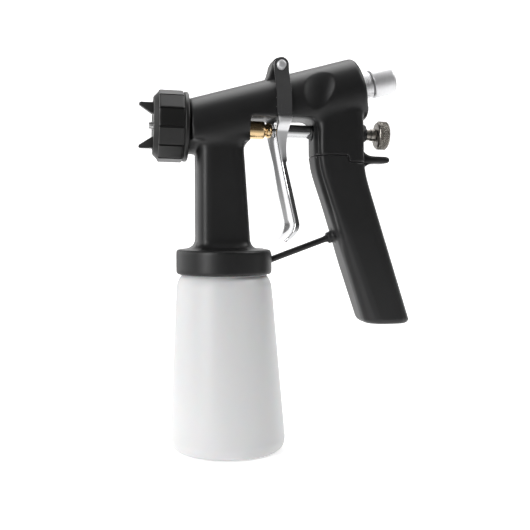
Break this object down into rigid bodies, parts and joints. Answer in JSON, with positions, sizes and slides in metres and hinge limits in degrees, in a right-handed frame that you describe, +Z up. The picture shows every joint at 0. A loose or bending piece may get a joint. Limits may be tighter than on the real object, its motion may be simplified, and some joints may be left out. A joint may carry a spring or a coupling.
{
  "type": "spray gun",
  "caption": "Suction-cup paint spray gun with a faceted cap ring, long trigger, leaning handle, brace, tapered cup, control knob and hose inlet.",
  "frame": {"origin": "centre of the cup's base, on the surface it stands on", "axes": "+Z up, -X the way the nozzle points, +X towards the handle and hose inlet, -Y the side seen in the picture"},
  "size_m": [0.1624, 0.0688, 0.233],
  "materials": {
    "black_body": "satin",
    "black_grip": "satin",
    "black_ring": "satin",
    "chrome": "polished",
    "steel": "satin",
    "brass": "polished",
    "nickel": "satin",
    "satin_aluminium": "satin",
    "cup_plastic": "satin",
    "clear_tube": "gloss",
    "seal_rubber": "matte",
    "packing_white": "matte"
  },
  "bodies": {
    "gun": {"gun_body": "black_body", "handle_grip": "black_grip", "handle_cap": "black_grip", "grip_bolt": "steel", "brace_rod": "black_grip", "lid_gasket": "seal_rubber", "pickup_tube": "clear_tube", "check_valve": "seal_rubber", "fluid_head": "steel", "fluid_nozzle": "steel", "nozzle_gasket": "packing_white", "air_baffle": "steel", "needle_packing": "packing_white", "packing_nut": "brass", "control_bushing": "black_body", "trigger_pin": "chrome", "pin_clip": "steel", "pivot_washer_left": "packing_white", "pivot_washer_right": "packing_white", "hose_nipple": "satin_aluminium", "hose_o_ring": "seal_rubber", "needle_spring": "steel"},
    "cup": {"cup": "cup_plastic"},
    "cap_ring": {"cap_ring": "black_ring"},
    "air_cap": {"air_cap": "black_ring"},
    "trigger": {"trigger": "chrome"},
    "needle": {"needle": "steel", "needle_sleeve": "chrome"},
    "spring_seat": {"spring_seat": "steel"},
    "control_knob": {"control_knob": "nickel", "control_stem": "nickel"},
    "hose_collar": {"hose_collar": "satin_aluminium"}
  },
  "joints": [
    {"name": "trigger_pull", "type": "hinge", "parent": "gun", "child": "trigger", "pos_m": [0.03035, 0, 0.2268], "axis": [0, -1, 0], "range_deg": [0, 10], "stiffness_Nm_per_rad": 1.2, "springref_deg": -17.19},
    {"name": "needle_slide", "type": "slide", "parent": "gun", "child": "needle", "axis": [0.9997, 0, -0.0262], "range_m": [0, 0.007], "deforming": ["needle_spring"]},
    {"name": "control_travel", "type": "slide", "parent": "gun", "child": "spring_seat", "axis": [0.9997, 0, -0.0262], "range_m": [-0.002, 0.002], "deforming": ["needle_spring"]},
    {"name": "knob_turn", "type": "hinge", "parent": "spring_seat", "child": "control_knob", "pos_m": [0, 0, 0.19035], "axis": [0.9997, 0, -0.0262], "range_deg": [-722, 722]},
    {"name": "air_cap_turn", "type": "hinge", "parent": "gun", "child": "air_cap", "pos_m": [0, 0, 0.19035], "axis": [0.9997, 0, -0.0262], "range_deg": [-90, 90]},
    {"name": "cap_ring_turn", "type": "hinge", "parent": "gun", "child": "cap_ring", "pos_m": [0, 0, 0.19035], "axis": [0.9997, 0, -0.0262], "range_deg": [-180, 180]},
    {"name": "cup_lower", "type": "slide", "parent": "gun", "child": "cup", "axis": [0, 0, -1], "range_m": [0, 0.112]},
    {"name": "hose_collar_turn", "type": "hinge", "parent": "gun", "child": "hose_collar", "pos_m": [-0.00028, 0, 0.19496], "axis": [0.9659, 0, 0.2588], "continuous": true}
  ],
  "couplings": [
    {"joint": "needle_slide", "follows": "trigger_pull", "m_per_rad": 0.0371},
    {"joint": "knob_turn", "follows": "control_travel", "rad_per_m": 6283.2}
  ]
}
